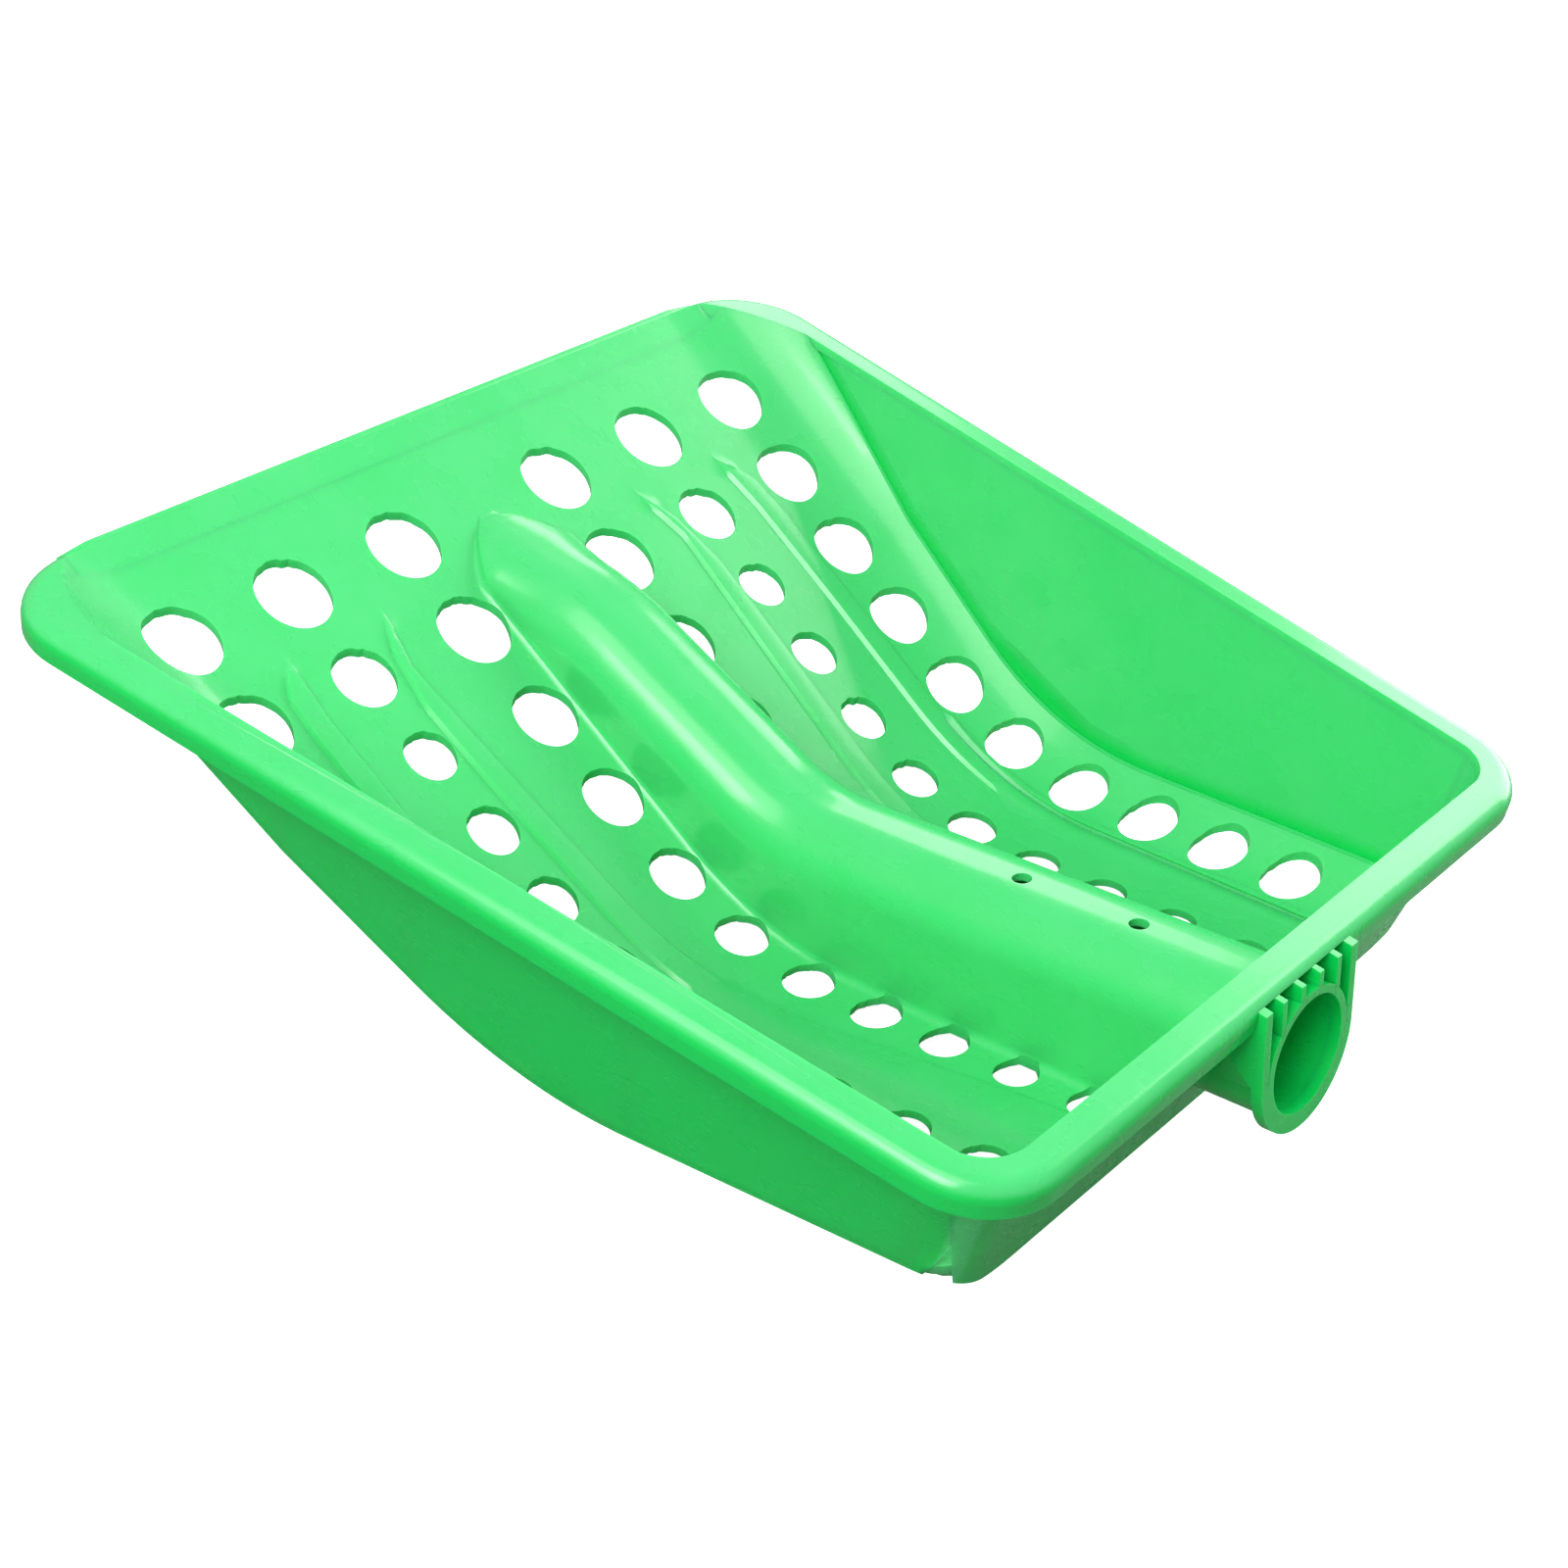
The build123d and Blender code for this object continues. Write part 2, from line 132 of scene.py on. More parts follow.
class Graph:
    """Builds the node tree of one material."""

    def __init__(self, name: str) -> None:
        """Start an empty node material.

        Args:
            name: Name of the material.
        """
        self.material = bpy.data.materials.new(name)
        self.material.use_nodes = True
        self.tree = self.material.node_tree
        self.tree.nodes.clear()

    def node(self, kind: str, settings: dict[str, Any], inputs: dict[Any, Any], output: Any = 0) -> Term:
        """Add one node.

        Args:
            kind: Type name of the node.
            settings: Attributes of the node, set before its sockets.
            inputs: Values or links by socket name or number.
            output: Name or number of the output to hand back.

        Returns:
            The chosen output as a term.
        """
        made = self.tree.nodes.new(kind)
        for key, value in settings.items():
            setattr(made, key, value)
        for key, value in inputs.items():
            if isinstance(value, Term):
                self.tree.links.new(value.socket, made.inputs[key])
            else:
                made.inputs[key].default_value = value
        return Term(self, made.outputs[output])

    def position(self) -> Term:
        """Object coordinates, in metres."""
        return self.node("ShaderNodeTexCoord", {}, {}, "Object")

    def axis(self, name: str) -> Term:
        """One object coordinate in millimetres.

        Args:
            name: X, Y or Z.

        Returns:
            The coordinate.
        """
        return self.node("ShaderNodeSeparateXYZ", {}, {0: self.position()}, name) * (1 / MM)

    def noise(self, size: float, detail: float = 2.0, stretch: Sequence[float] = (1, 1, 1)) -> Term:
        """Soft noise from 0 to 1.

        Args:
            size: Size of its blotches in millimetres.
            detail: Octaves.
            stretch: Scale along each axis.

        Returns:
            The noise value.
        """
        scale = [share / MM / size for share in stretch]
        at = self.node("ShaderNodeMapping", {}, {0: self.position(), "Scale": scale})
        return self.node("ShaderNodeTexNoise", {}, {"Vector": at, "Scale": 1.0, "Detail": detail})

    def mix(self, factor: Any, low: Any, high: Any) -> Term:
        """Blend of two colours.

        Args:
            factor: Share of the second colour.
            low: First colour.
            high: Second colour.

        Returns:
            The blended colour.
        """
        return self.node("ShaderNodeMix", {"data_type": "RGBA"}, {0: factor, 6: low, 7: high}, 2)

    def finish(self, shader: Term) -> bpy.types.Material:
        """Link the shader to the output.

        Args:
            shader: The material's last shader.

        Returns:
            The finished material.
        """
        out = self.tree.nodes.new("ShaderNodeOutputMaterial")
        self.tree.links.new(shader.socket, out.inputs["Surface"])
        return self.material

    def bump(self, height: Term, distance: float, strength: float, below: Term | None = None) -> Term:
        """Bump on the surface normal.

        Args:
            height: Height from 0 to 1.
            distance: Depth in millimetres.
            strength: Share of the effect.
            below: Normal that it is laid over.

        Returns:
            The new normal.
        """
        links = {"Height": height, "Distance": distance * MM, "Strength": strength}
        if below is not None:
            links["Normal"] = below
        return self.node("ShaderNodeBump", {}, links)


# ---- finishes -----------------------------------------------------------------------------------
@dataclass(frozen=True)
class GreenPolypropylene:
    """Glossy green moulded polypropylene that lets a little light through, with a pale sheen painted on
    its inner faces and rim top.
    """

    deep: Sequence[float] = (0.002, 0.52, 0.080, 1)
    fresh: Sequence[float] = (0.003, 0.61, 0.100, 1)
    # Painted sheen: this pale colour stands in for the soft reflections and light on the inner faces and
    # rim top.
    painted_sheen: Sequence[float] = (0.072, 0.60, 0.19, 1)
    gloss: float = 0.20
    through: float = 0.45
    depth: float = 3.0
    # Softness, rim band depth, strength and spread of the painted sheen.
    edge: float = 0.6
    rim_sheen_depth: float = 2.5
    sheen_share: float = 0.55
    sheen_spread: float = 0.4
    flow_contrast: float = 1.5
    flow_floor: float = 0.35
    haze_rough: float = 0.10
    scuff_rough: float = 0.05

    def _painted_sheen_mask(self, g: Graph, form: "ScoopForm") -> Term:
        """Mask of the painted sheen: how far a place lies on the scoop's inner faces or on top of its rim.

        Args:
            g: Graph that takes the nodes.
            form: The scoop's form.

        Returns:
            A value from 0 outside to 1 inside.
        """
        x, y, z = g.axis("X").absolute(), g.axis("Y"), g.axis("Z")
        below = form.rim_z - z
        half = form.lip_width / 2 + form.taper * form.lip_y - form.taper * y - form.lean * below
        within = ((half - x) / self.edge + 1.0).clamp()
        before = ((form.rear_y - form.lean * below - y) / self.edge + 1.0).clamp()
        return (within * before + (self.rim_sheen_depth - below).clamp()).clamp()

    def material(self, name: str, form: "ScoopForm") -> bpy.types.Material:
        """Build the node material.

        Args:
            name: Name of the material.
            form: The scoop's form, which tells inner faces, where the sheen is painted, from outer ones.

        Returns:
            The material.
        """
        g = Graph(name)
        flow = g.noise(55, 3, (1, 0.45, 1))
        # This noise varies both the painted sheen and the roughness.
        haze_and_sheen = g.noise(14, 2)
        grain = g.noise(0.9, 2)
        scuff = g.noise(3.2, 4, (1, 0.12, 1))
        base = g.mix((flow * self.flow_contrast - self.flow_floor).clamp(), self.deep, self.fresh)
        # Painted sheen: inner faces and the rim top are mixed towards the pale colour, more where the
        # noise is high.
        base = g.mix(self._painted_sheen_mask(g, form) * (self.sheen_share + self.sheen_spread * haze_and_sheen), base, self.painted_sheen)
        rough = self.gloss + self.haze_rough * haze_and_sheen + self.scuff_rough * scuff
        normal = g.bump(grain, 0.004, 0.4)
        normal = g.bump(flow, 0.3, 0.2, normal)
        shader = g.node("ShaderNodeBsdfPrincipled", {"subsurface_method": "RANDOM_WALK"}, {
            "Base Color": base, "Roughness": rough, "Normal": normal, "IOR": 1.49,
            "Subsurface Weight": self.through, "Subsurface Radius": (0.25, 1.0, 0.4),
            "Subsurface Scale": self.depth * MM, "Specular IOR Level": 0.5, "Coat Weight": 0.3,
            "Coat Roughness": 0.1})
        return g.finish(shader)


@dataclass(frozen=True)
class PalePaper:
    """Plain pale sweep that the scoop stands on."""

    tone: Sequence[float] = (0.93, 0.93, 0.93, 1)
    glow: float = 0.9

    def material(self, name: str) -> bpy.types.Material:
        """Build the node material.

        Args:
            name: Name of the material.

        Returns:
            The material.
        """
        g = Graph(name)
        shader = g.node("ShaderNodeBsdfPrincipled", {}, {
            "Base Color": self.tone, "Roughness": 0.9, "Specular IOR Level": 0.1,
            "Emission Color": (1, 1, 1, 1), "Emission Strength": self.glow})
        return g.finish(shader)


# ---- mesh helpers -------------------------------------------------------------------------------
def to_object(mesh: bmesh.types.BMesh, name: str, material: bpy.types.Material | None) -> bpy.types.Object:
    """Turn a bmesh into an object at the origin.

    Args:
        mesh: The mesh, in metres; it is freed.
        name: Name of the object.
        material: Its material, if it is seen.

    Returns:
        The linked object.
    """
    data = bpy.data.meshes.new(name)
    mesh.to_mesh(data)
    mesh.free()
    piece = bpy.data.objects.new(name, data)
    bpy.context.scene.collection.objects.link(piece)
    if material is not None:
        data.materials.append(material)
    return piece


def smooth(piece: bpy.types.Object, angle: float) -> None:
    """Shade a piece smooth, with sharp edges above an angle.

    Args:
        piece: The piece.
        angle: Angle in degrees.
    """
    piece.data.shade_smooth()
    piece.data.set_sharp_from_angle(angle=math.radians(angle))


def weight_normals(piece: bpy.types.Object) -> None:
    """Let large faces set the shading of a piece.

    Args:
        piece: The piece.
    """
    weigh = piece.modifiers.new("even_shading", "WEIGHTED_NORMAL")
    weigh.keep_sharp, weigh.weight = True, 80


def settle(piece: bpy.types.Object) -> None:
    """Apply a piece's modifiers to its mesh.

    Args:
        piece: The piece.
    """
    graph = bpy.context.evaluated_depsgraph_get()
    done = bpy.data.meshes.new_from_object(piece.evaluated_get(graph))
    piece.modifiers.clear()
    old = piece.data
    piece.data = done
    bpy.data.meshes.remove(old)


def deliver(piece: bpy.types.Object, nodes: Iterable[str]) -> bpy.types.Object:
    """Hand a finished piece to the frame.

    Args:
        piece: The piece.
        nodes: Frame nodes that it stands for.

    Returns:
        The same piece.
    """
    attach(piece, BODY)
    names = list(nodes)
    if names:
        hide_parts(*names)
    LOG.info("%s: %d faces for %s", piece.name, len(piece.data.polygons), names or "detail")
    return piece


def between(value: float, table: Sequence[Point]) -> float:
    """Straight-line reading of a short table.

    Args:
        value: Place in the table's first column.
        table: Rising pairs.

    Returns:
        The second column there, held at its ends.
    """
    if value <= table[0][0]:
        return table[0][1]
    for (a, low), (b, high) in zip(table, table[1:]):
        if value <= b:
            return low + (high - low) * (value - a) / (b - a)
    return table[-1][1]


def ease(value: float) -> float:
    """Smooth step from 0 to 1."""
    t = min(max(value, 0.0), 1.0)
    return t * t * (3 - 2 * t)


# ---- form of the scoop --------------------------------------------------------------------------
@dataclass
class ScoopForm:
    """Sizes of the scoop in millimetres and the curves that they give."""

    lip_width: float = 224.6
    rear_width: float = 178.8
    clear_length: float = 244.6
    clear_depth: float = 60.5
    wall: float = 2.0
    front_slope: float = 24.8
    rear_slope: float = 12.5
    knee_radius: float = 85.0
    lip_drop: float = 0.9
    lip_bead: float = 1.2
    lip_band: float = 8.0
    flare: float = 9.0
    cove_radius: float = 30.0
    rear_corner: float = 11.0
    cove_rise: float = 8.0
    lip_cove_rise: float = 19.5
    lip_cove: float = 78.0
    tube_radius: float = 14.4
    pole_slope: float = 13.0
    pole_drop: float = 18.9
    pole_reach: float = 13.4

    def __post_init__(self) -> None:
        """Work out the places that depend on the frame."""
        self.lip_y = CAD_BOX[0][1] / MM + self.lip_bead
        self.rear_y = self.lip_y + self.clear_length
        self.rim_z = self.clear_depth + self.wall
        self.lean = math.tan(math.radians(self.flare))
        self.taper = (self.lip_width - self.rear_width) / 2 / self.clear_length
        self.knee_front = self.knee_radius * math.sin(math.radians(self.front_slope))
        self.knee_rear = self.knee_radius * math.sin(math.radians(self.rear_slope))
        fall = self.clear_depth - self.lip_drop
        fall -= self.knee_radius * (1 - math.cos(math.radians(self.front_slope)))
        self.knee_y = self.lip_y + self.knee_front + fall / math.tan(math.radians(self.front_slope))

    def floor(self, y: float) -> float:
        """Height of the floor's upper face at a place along the scoop.

        Args:
            y: Place along the scoop.

        Returns:
            The height.
        """
        if y < self.knee_y - self.knee_front:
            drop = self.lip_drop + math.tan(math.radians(self.front_slope)) * (y - self.lip_y)
            return self.rim_z - drop
        centre = self.wall + self.knee_radius
        if y <= self.knee_y + self.knee_rear:
            return centre - math.sqrt(self.knee_radius**2 - (y - self.knee_y) ** 2)
        start = centre - self.knee_radius * math.cos(math.radians(self.rear_slope))
        return start + math.tan(math.radians(self.rear_slope)) * (y - self.knee_y - self.knee_rear)

    def rise(self, y: float) -> float:
        """Height of the crease between cove and wall above the floor.

        Args:
            y: Place along the scoop.

        Returns:
            The height above the floor.
        """
        opened = max(0.0, self.lip_y + self.lip_cove - y) / self.lip_cove
        return self.cove_rise + (self.lip_cove_rise - self.cove_rise) * opened

    def crease(self, y: float) -> float:
        """Distance of the crease from the middle.

        Args:
            y: Place along the scoop.

        Returns:
            The distance.
        """
        half = self.lip_width / 2 - self.taper * (y - self.lip_y)
        return half + (self.floor(y) + self.rise(y) - self.rim_z) * self.lean

    def cove_edge(self, y: float) -> float:
        """Distance from the middle at which the cove leaves the floor.

        Args:
            y: Place along the scoop.

        Returns:
            The distance.
        """
        rise = self.rise(y)
        return self.crease(y) - math.sqrt(2 * self.cove_radius * rise - rise**2)

    def wall_face(self, y: float, z: float) -> float:
        """Distance of the side wall's inner face from the middle, round the rear corner.

        Args:
            y: Place along the scoop.
            z: Height of the place.

        Returns:
            The distance.
        """
        below = self.rim_z - z
        half = self.lip_width / 2 - self.taper * (y - self.lip_y) - self.lean * below
        corner = self.rear_corner
        into = min(corner, max(0.0, y - (self.rear_y - self.lean * below - corner)))
        return half - corner + math.sqrt(corner**2 - into**2)

    def pole_line(self, y: float, radius: float) -> float:
        """Height of the line along the pole at a radius above its axis.

        Args:
            y: Place along the scoop.
            radius: Distance above the axis.

        Returns:
            The height.
        """
        slope = math.radians(self.pole_slope)
        back = self.rear_y + self.pole_reach - y
        return self.rim_z - self.pole_drop - back * math.tan(slope) + radius / math.cos(slope)


@dataclass
class RibLine:
    """A low rib, as the distances of its two edges from the middle along the scoop."""

    inner: Sequence[Point]
    outer: Sequence[Point]
    start: float
    height: float = 1.1
    fade: float = 0.35
    shoulder: float = 0.8
    growth: float = 7.0
    crown: float = 0.1
    fade_from: float = -30.0
    fade_over: float = 70.0

    def edges(self, y: float) -> Point:
        """Both edges at a place along the scoop."""
        return between(y, self.inner), between(y, self.outer)

    def lift(self, y: float) -> float:
        """Height of the rib at a place along the scoop.

        Args:
            y: Place along the scoop.

        Returns:
            The height.
        """
        grown = ease((y - self.start) / self.growth)
        faded = ease((y - self.fade_from) / self.fade_over)
        return self.height * grown * (1 - (1 - self.fade) * faded)


@dataclass
class SieveSkin:
    """One continuous moulded sheet: floor, coves, tunnel ridge and ribs, pierced by the sieve holes."""

    form: ScoopForm
    ridge_round: float = 12.0
    ridge_start: float = 28.5
    ridge_level: float = 13.2
    ridge_nose: float = 39.0
    ridge_knee: float = 112.4
    ridge_bend: float = 22.0
    ridge_point: float = 15.0
    ridge_foot: float = 2.2
    tip_half: float = 2.0
    tip_power: float = 0.6
    foot_share: float = 0.45
    turn_share: float = 0.86
    overlap: float = 0.8
    bury: float = 0.9
    tuck: float = 0.15
    rear_blend: float = 14.0
    rows: int = 118
    crest_steps: int = 12
    foot_steps: int = 5
    cove_steps: int = 10
    rib_gaps: Sequence[int] = (7, 8)
    edge_gap: int = 4
    sink: float = 0.3
    tip_lead: float = 1.5
    tip_run: float = 5.0
    row_start: float = 26.8
    screw_radius: float = 2.1
    screw_back: Sequence[float] = (56.4, 28.3)
    flash: float = 0.55
    flash_turn: float = 105.0
    flash_from: float = 0.35
    flash_scale: float = 3.1
    flash_even: float = 0.75
    flash_ragged: float = 1.5
    hole_reach: float = 9.0
    screw_reach: float = 6.0
    ridge_gap: float = 0.15
    facets: int = 56
    merge: float = 0.004
    crease: float = 38.0
    columns: Sequence[tuple[float, float, Sequence[float], Sequence[float]]] = (
        (21.2, -0.030, (23.3, 23.5, 21.8, 20.6, 19.6, 19.1, 18.1, 17.4, 17.6, 17.6),
         (8.7, 8.6, 7.7, 7.2, 6.6, 6.2, 5.9, 5.6, 5.3, 4.8, 4.8)),
        (51.4, -0.050, (22.5, 20.6, 19.5, 18.2, 18.4, 18.8, 18.8, 18.8, 18.8, 18.8),
         (8.7, 7.3, 6.0, 5.9, 5.8, 5.9, 6.0, 6.0, 6.0, 6.0, 6.0)),
        (81.5, -0.050, (22.4, 21.7, 20.8, 20.9, 20.7, 20.8, 20.4, 19.5, 19.3),
         (8.5, 8.1, 7.8, 7.6, 7.4, 7.2, 7.0, 6.8, 6.7, 6.6)),
    )
    ribs: Sequence[RibLine] = (
        RibLine(inner=((-91, 40.5), (-78, 43.6), (-1, 36.3), (90, 23.5)),
                outer=((-91, 42.0), (-82, 46.2), (-69, 48.4), (-46, 47.2), (0, 43.5), (94, 35.9)),
                start=-92.0),
        RibLine(inner=((-91, 68.2), (-76, 69.3), (-49, 68.6), (95, 61.5)),
                outer=((-91, 70.0), (-83, 75.2), (-73, 76.0), (-32, 74.7), (95, 68.0)),
                start=-92.0),
    )

    def _crest(self, y: float) -> float:
        """Height of the ridge's crest, its two bends rounded.

        Args:
            y: Place along the scoop.

        Returns:
            The height.
        """
        form = self.form
        level = form.rim_z - self.ridge_level
        nose_y = form.lip_y + self.ridge_start + self.ridge_nose
        turn_y = form.rear_y - self.ridge_knee
        turn_z = form.pole_line(turn_y, form.tube_radius)
        fall = (turn_z - level) / (turn_y - nose_y)
        climb = math.tan(math.radians(form.pole_slope))
        first = self._bend(y - nose_y, 0.0, fall)
        second = self._bend(y - turn_y, 0.0, climb - fall)
        return level + first + second

    def _bend(self, reach: float, before: float, change: float) -> float:
        """Rise past a bend whose slope changes smoothly over the bend's length.

        Args:
            reach: Distance past the middle of the bend.
            before: Rise ahead of the bend.
            change: Change of slope over the bend.

        Returns:
            The rise.
        """
        half = self.ridge_bend / 2
        if reach <= -half:
            return before
        if reach >= half:
            return change * reach
        return change * (reach + half) ** 2 / (4 * half)

    def _ridge(self, y: float) -> list[Point]:
        """Right half of the ridge's section from its crest to the floor.

        Args:
            y: Place along the scoop.

        Returns:
            Its points, always as many.
        """
        form, foot = self.form, self.ridge_foot
        base = form.floor(y)
        along = max(0.0, y - form.lip_y - self.ridge_start)
        height = max(0.0, self._crest(y) - base) if along > 0 else 0.0
        height *= ease((along + self.tip_lead) / self.tip_run)
        half = max(self.tip_half, form.tube_radius * min(1.0, along / self.ridge_point) ** self.tip_power)
        foot = min(foot, height * self.foot_share)
        turn = min(self.ridge_round, half * self.turn_share)
        drop = min(turn, height - foot)
        points = [((half - turn) * k / 3, base + height) for k in range(3)]
        for k in range(self.crest_steps + 1):
            a = math.radians(90 * k / self.crest_steps)
            points.append((half - turn + turn * math.sin(a), base + height - drop * (1 - math.cos(a))))
        low, top = base + foot, base + height - drop
        points += [(half, top + (low - top) * k / 4) for k in (1, 2, 3)]
        for k in range(self.foot_steps + 1):
            a = math.radians(90 * k / self.foot_steps)
            points.append((half + foot * (1 - math.cos(a)), base + foot * (1 - math.sin(a))))
        return points

    def _plain(self, start: float, end: float, count: int, height: float) -> list[Point]:
        """Level points between two distances, without the ends."""
        return [(start + (end - start) * k / (count + 1), height) for k in range(1, count + 1)]

    def section(self, y: float) -> Section:
        """Right half of the section at a place along the scoop.

        Args:
            y: Place along the scoop.

        Returns:
            Points from the middle to just past the crease, always as many.
        """
        form = self.form
        base = form.floor(y)
        points = self._ridge(y)
        for rib, count in zip(self.ribs, self.rib_gaps):
            inner, outer = rib.edges(y)
            step = min(rib.shoulder, (outer - inner) / 3)
            top = base + rib.lift(y)
            points += self._plain(points[-1][0], inner, count, base)
            middle = (inner + outer) / 2, top + rib.crown * rib.lift(y)
            points += [(inner, base), (inner + step, top), middle, (outer - step, top), (outer, base)]
        edge = form.cove_edge(y)
        points += self._plain(points[-1][0], edge, self.edge_gap, base)
        open_rise = min(form.rise(y), form.rim_z - base)
        turn = math.acos(1 - open_rise / form.cove_radius)
        radius = form.cove_radius
        for k in range(self.cove_steps + 1):
            a = turn * k / self.cove_steps
            points.append((edge + radius * math.sin(a), base + radius * (1 - math.cos(a))))
        x, z = points[-1]
        clipped = open_rise < form.rise(y)
        points.append((x + self.overlap, z - self.sink) if clipped else
                      (x + self.overlap * form.lean, z + self.overlap))
        return points

    def _sheet(self) -> bmesh.types.BMesh:
        """The upper face of the sheet, laid on a grid.

        Returns:
            The sheet, in metres.
        """
        form = self.form
        width = len(self.section(form.knee_y)) - 1
        mesh = bmesh.new()
        bmesh.ops.create_grid(mesh, x_segments=2 * width, y_segments=self.rows, size=1.0)
        front, rear = form.lip_y + form.lip_band, form.rear_y
        sections = {}
        for vert in mesh.verts:
            column = round((vert.co.x + 1) * width) - width
            row = round((vert.co.y + 1) * self.rows / 2)
            y = front + (rear - front) * row / self.rows
            if row not in sections:
                sections[row] = self.section(y)
            x, z = sections[row][abs(column)]
            share = max(0.0, y - rear + self.rear_blend) / self.rear_blend
            hidden = self.bury if z > form.floor(y) + 2.5 and x < form.tube_radius + 0.1 else 0.0
            back = (form.rim_z - z) * form.lean - hidden
            y -= back * share
            x = min(x, form.wall_face(y, z) + self.tuck)
            vert.co = Vector((math.copysign(x, column), y, z)) * MM
        bmesh.ops.remove_doubles(mesh, verts=mesh.verts, dist=self.merge * MM)
        bmesh.ops.dissolve_degenerate(mesh, edges=mesh.edges, dist=self.merge * MM)
        return mesh

    def _drill(self, mesh: bmesh.types.BMesh, x: float, y: float, radius: float, low: float, high: float,
               rough: float) -> None:
        """Add one upright cutter to a mesh.

        Args:
            mesh: Mesh that takes the cutter.
            x: Distance from the middle.
            y: Place along the scoop.
            radius: Radius of the hole.
            low: Height of the cutter's foot.
            high: Height of its top.
            rough: Depth of the ragged flash on the lip side of the hole.
        """
        made = bmesh.ops.create_cone(mesh, cap_ends=True, segments=self.facets, radius1=radius,
                                     radius2=radius, depth=high - low)["verts"]
        limit = self.form.tube_radius + self.ridge_gap
        for vert in made:
            turn = math.atan2(vert.co.y, vert.co.x)
            near = max(0.0, math.cos(turn + math.radians(self.flash_turn)))
            wide = self.flash_scale
            ragged = abs(noise.noise((x + wide * math.cos(turn), y + wide * math.sin(turn), radius)))
            depth = self.flash_even + self.flash_ragged * ragged
            pull = rough * near**3 * depth if near > self.flash_from else 0.0
            flat = vert.co.xy * (1 - pull / radius)
            place = Vector((x + flat.x, y + flat.y, vert.co.z + (low + high) / 2))
            if abs(x) > limit > abs(place.x):
                place.x = math.copysign(limit, x)
            vert.co = place * MM

    def _cutter(self) -> bpy.types.Object:
        """All hole cutters in one object.

        Returns:
            The object, which is not seen.
        """
        form = self.form
        mesh = bmesh.new()
        for distance, lean, pitches, radii in self.columns:
            y = form.lip_y + self.row_start
            for pitch, radius in zip((0.0, *pitches), radii):
                y += pitch
                low, high = form.floor(y) - self.hole_reach, form.floor(y) + self.hole_reach
                for side in Side:
                    x = side.value * (distance + lean * y)
                    self._drill(mesh, x, y, radius, low, high, self.flash)
        for back in self.screw_back:
            y = form.rear_y - back
            top = form.pole_line(y, form.tube_radius)
            low, high = top - self.screw_reach, top + self.screw_reach
            self._drill(mesh, 0.0, y, self.screw_radius, low, high, 0.0)
        mesh.normal_update()
        return to_object(mesh, "hole_cutter", None)

    def build(self, material: bpy.types.Material) -> bpy.types.Object:
        """Model the skin and hand it over.

        Args:
            material: Its material.

        Returns:
            The piece.
        """
        piece = to_object(self._sheet(), "sieve_floor_skin", material)
        solid = piece.modifiers.new("thickness", "SOLIDIFY")
        solid.thickness, solid.offset, solid.use_even_offset = self.form.wall * MM, -1.0, False
        settle(piece)
        cutter = self._cutter()
        cut = piece.modifiers.new("holes", "BOOLEAN")
        cut.operation, cut.object, cut.solver = "DIFFERENCE", cutter, "EXACT"
        settle(piece)
        bpy.data.objects.remove(cutter)
        smooth(piece, self.crease)
        weight_normals(piece)
        return deliver(piece, ["sieve_floor", "centre_ridge", "rib_inner_left", "rib_inner_right",
                               "rib_outer_left", "rib_outer_right"])


# ---- copies of frame nodes ----------------------------------------------------------------------
@dataclass
class MouldedCopy:
    """A frame node's shape with merged corners and smooth shading."""

    node: str
    name: str
    crease: float = 32.0
    merge: float = 0.002 * MM

    def build(self, material: bpy.types.Material) -> bpy.types.Object:
        """Make the copy and hand it over.

        Args:
            material: Its material.

        Returns:
            The piece.
        """
        mesh = bmesh.new()
        mesh.from_mesh(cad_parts[self.node].data)
        bmesh.ops.remove_doubles(mesh, verts=mesh.verts, dist=self.merge)
        piece = to_object(mesh, self.name, material)
        smooth(piece, self.crease)
        weight_normals(piece)
        return deliver(piece, [self.node])


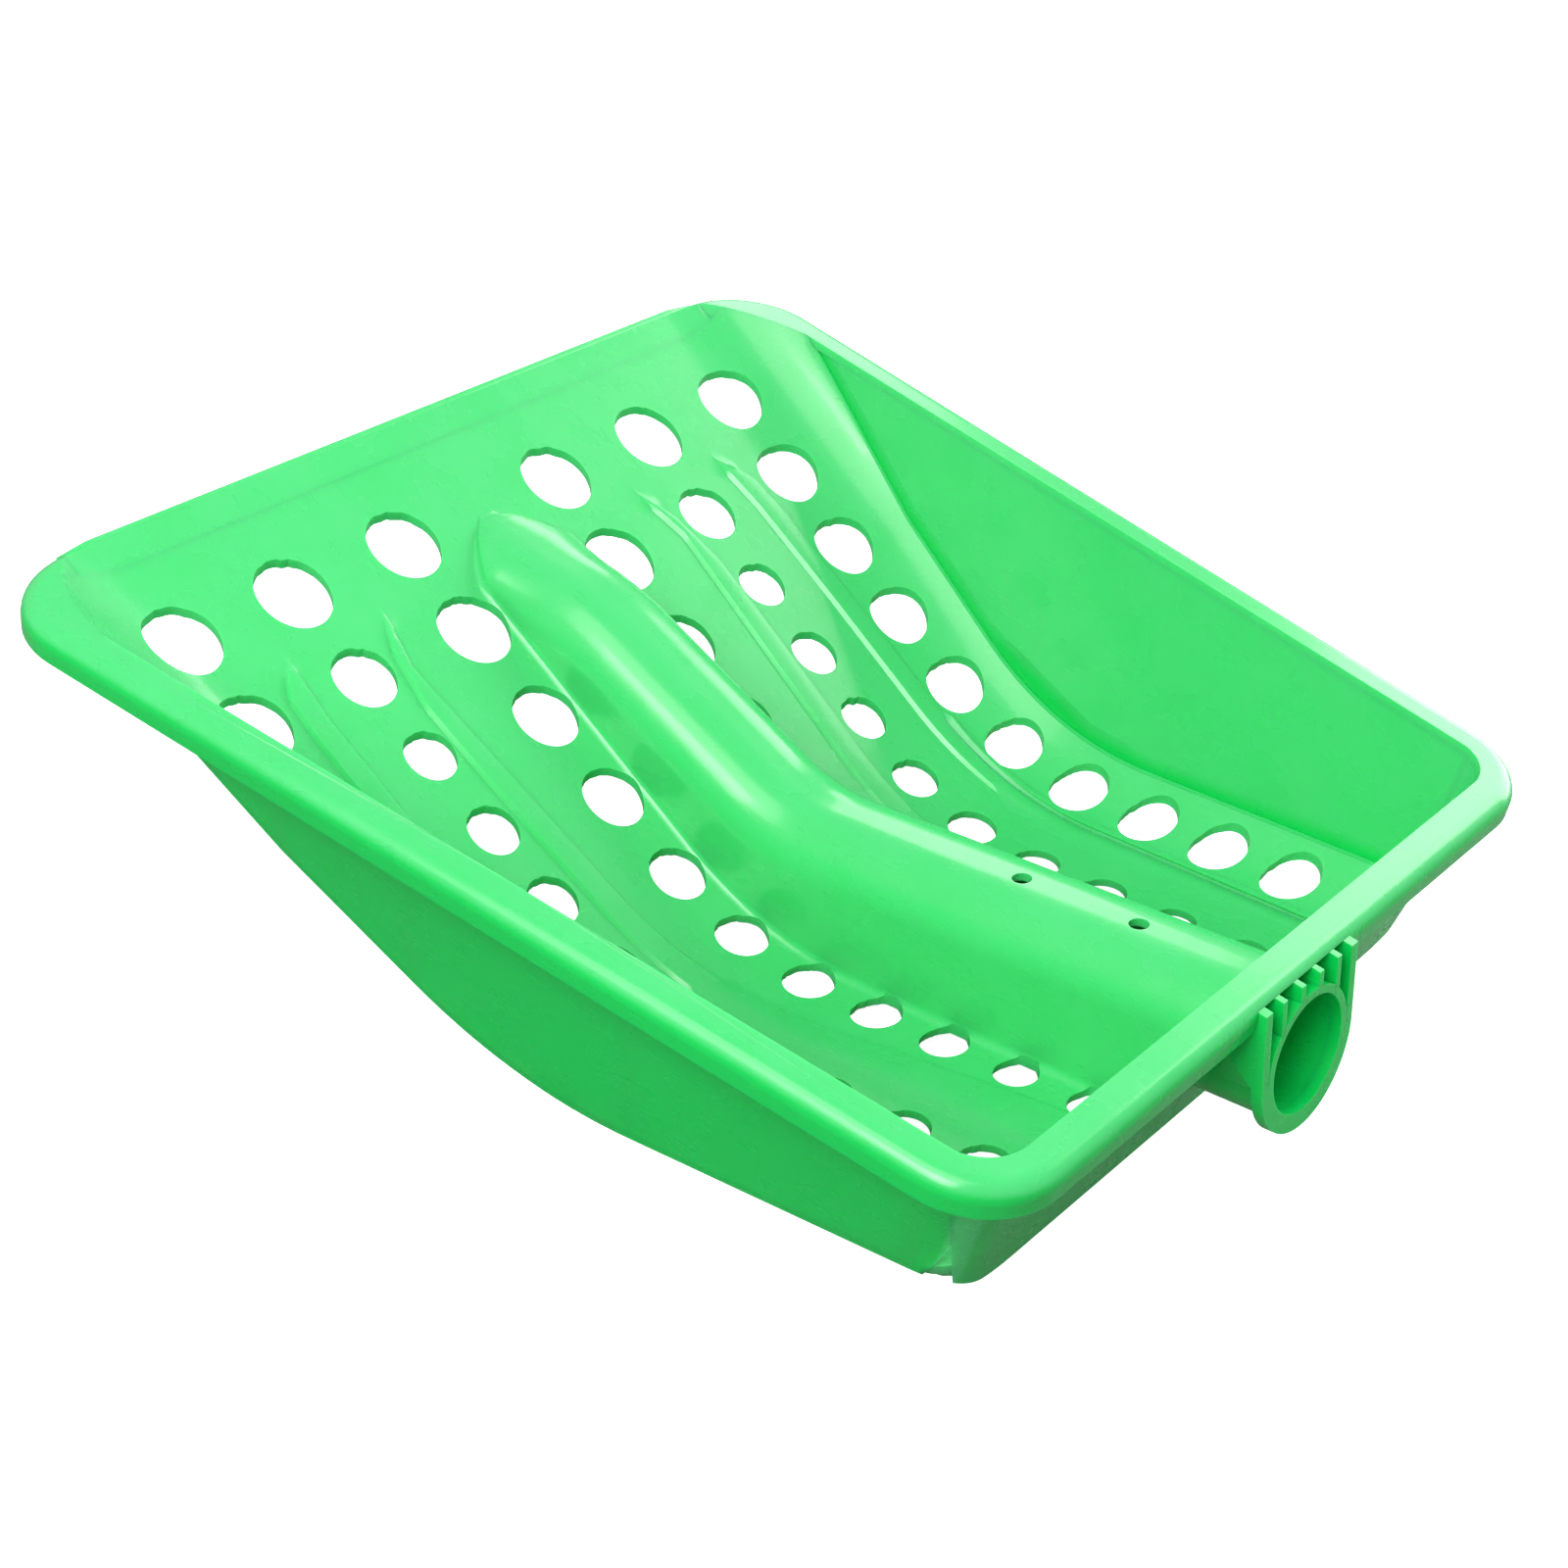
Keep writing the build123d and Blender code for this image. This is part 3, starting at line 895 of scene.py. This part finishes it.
# ---- studio -------------------------------------------------------------------------------------
@dataclass
class Studio:
    """Pale sweep, soft lights and the camera."""

    camera_at: Sequence[float] = (0.36874, 0.25596, 0.37297)
    camera_turn: Sequence[float] = (52.246, -7.706, 131.238)
    lens: float = 59.217
    floor_half: float = 3.0
    floor_depth: float = 0.2
    shade_depth: float = 0.4
    shade_tone: Sequence[float] = (0.45, 0.50, 0.46, 1)
    air: float = 0.50
    lights: Sequence[tuple[str, Sequence[float], float, float]] = (
        ("top_light", (0.60, -0.05, 1.00), 0.9, 7.5),
        ("back_light", (-0.9, 0.15, 0.40), 0.8, 10.0),
        ("side_light", (1.05, 0.10, 0.95), 0.7, 11.0),
        ("streak_light", (-1.0, -0.80, 0.55), 0.3, 1.2),
    )

    def build(self) -> None:
        """Set up the whole studio."""
        self._sweep()
        self._lights()
        self._camera()
        scene = bpy.context.scene
        scene.view_settings.view_transform = "Standard"
        world = bpy.data.worlds.new("studio_air")
        world.use_nodes = True
        world.node_tree.nodes["Background"].inputs["Color"].default_value = (1, 1, 1, 1)
        world.node_tree.nodes["Background"].inputs["Strength"].default_value = self.air
        scene.world = world

    def _plane(self, name: str, finish: PalePaper, depth: float) -> bpy.types.Object:
        """Lay one wide sheet under the scoop.

        Args:
            name: Name of the sheet.
            finish: Its finish.
            depth: Depth below the scoop's lowest point, in millimetres.

        Returns:
            The staged sheet.
        """
        mesh = bmesh.new()
        bmesh.ops.create_grid(mesh, x_segments=1, y_segments=1, size=self.floor_half)
        bmesh.ops.translate(mesh, verts=mesh.verts, vec=(0, 0, CAD_BOX[0][2] - depth * MM))
        plane = to_object(mesh, name, finish.material(name))
        return plane

    def _sweep(self) -> None:
        """Lay the floor that is seen, and under it the dim one that lights the scoop from below."""
        floor = self._plane("studio_floor", PalePaper(), self.floor_depth)
        floor.visible_diffuse = False
        floor.visible_glossy = False
        floor.visible_transmission = False
        shade = self._plane("studio_shade", PalePaper(self.shade_tone, 0.0), self.shade_depth)
        shade.visible_camera = False

    def _lights(self) -> None:
        """Hang the soft boxes, each turned to the scoop."""
        middle = Vector((0, 0, 0.03))
        for name, place, size, power in self.lights:
            data = bpy.data.lights.new(name, "AREA")
            data.shape, data.size, data.energy = "SQUARE", size, power
            lamp = bpy.data.objects.new(name, data)
            lamp.location = place
            lamp.rotation_euler = (middle - Vector(place)).to_track_quat("-Z", "Y").to_euler()
            bpy.context.scene.collection.objects.link(lamp)

    def _camera(self) -> None:
        """Place the camera."""
        data = bpy.data.cameras.new("studio_camera")
        data.lens, data.sensor_width = self.lens, 36.0
        data.clip_start, data.clip_end = 0.01, 20.0
        camera = bpy.data.objects.new("studio_camera", data)
        camera.location = self.camera_at
        camera.rotation_euler = [math.radians(a) for a in self.camera_turn]
        bpy.context.scene.collection.objects.link(camera)
        bpy.context.scene.camera = camera


def main() -> None:
    """Build every piece in order."""
    logging.basicConfig(level=logging.INFO, format="%(name)s %(message)s")
    form = ScoopForm()
    plastic = GreenPolypropylene().material("green_polypropylene", form)
    SieveSkin(form).build(plastic)
    for node in COPIED_NODES:
        MouldedCopy(node, f"{node}_skin").build(plastic)
    Studio().build()


if __name__ == "__main__":
    main()
